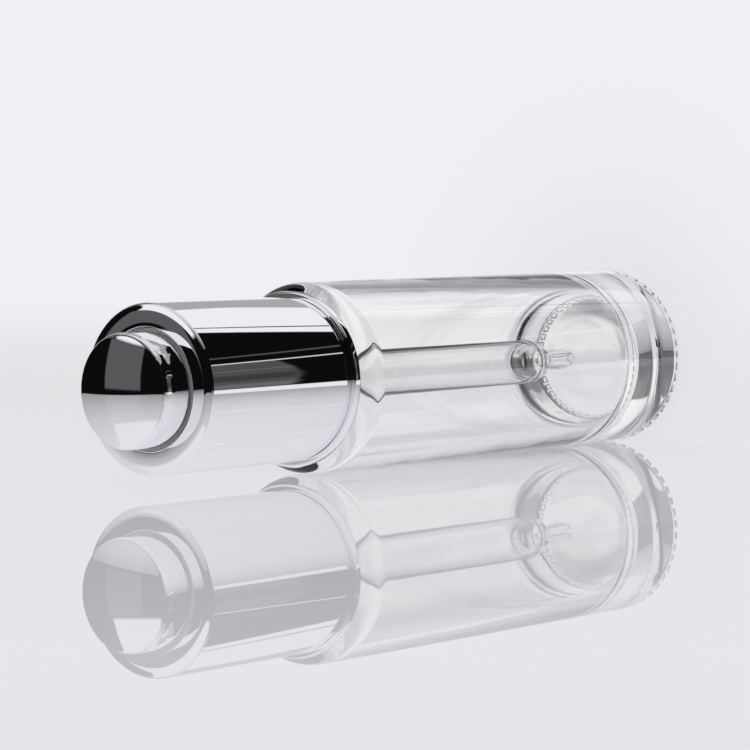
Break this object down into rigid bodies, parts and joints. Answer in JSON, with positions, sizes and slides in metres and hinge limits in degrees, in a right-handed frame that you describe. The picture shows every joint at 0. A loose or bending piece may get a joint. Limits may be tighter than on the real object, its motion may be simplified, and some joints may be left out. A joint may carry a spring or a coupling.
{
  "type": "dropper bottle",
  "caption": "Clear glass dropper bottle with a bright metal push-button closure that unscrews and lifts out with its pipette.",
  "frame": {"origin": "centre of the bottle's base, on the plane it stands on", "axes": "+Z along the bottle's axis, from the base to the button"},
  "size_m": [0.028, 0.028, 0.1166],
  "materials": {
    "clear_glass": "fire-polished clear glass",
    "bright_aluminium": "mirror polished and clear anodised",
    "white_polypropylene": "moulded, satin",
    "natural_polyethylene": "moulded, soft and slightly translucent",
    "white_rubber": "moulded, matt"
  },
  "bodies": {
    "bottle": {"bottle": "clear_glass", "wiper": "natural_polyethylene"},
    "seal": {"sealing_washer": "natural_polyethylene"},
    "dropper": {"pipette": "clear_glass", "pipette_holder": "white_polypropylene", "bulb": "white_rubber"},
    "closure": {"inner_cap": "white_polypropylene", "button_guide": "white_polypropylene", "collar_shell": "bright_aluminium", "base_ring": "bright_aluminium"},
    "button": {"button_cap": "bright_aluminium", "button_plunger": "white_polypropylene"}
  },
  "joints": [
    {"name": "pull_out", "type": "slide", "parent": "bottle", "child": "seal", "axis": [0, 0, 1], "range_m": [0, 0.085]},
    {"name": "closure_rise", "type": "slide", "parent": "seal", "child": "dropper", "axis": [0, 0, 1], "range_m": [0, 0.00317]},
    {"name": "closure_turn", "type": "hinge", "parent": "dropper", "child": "closure", "pos_m": [0, 0, 0.0954], "axis": [0, 0, 1], "range_deg": [0, 360]},
    {"name": "button_press", "type": "slide", "parent": "closure", "child": "button", "axis": [0, 0, -1], "range_m": [0, 0.0035], "stiffness_N_per_m": 1500, "deforming": ["bulb"]}
  ],
  "couplings": [
    {"joint": "closure_rise", "follows": "closure_turn", "m_per_rad": 0.00050532}
  ]
}
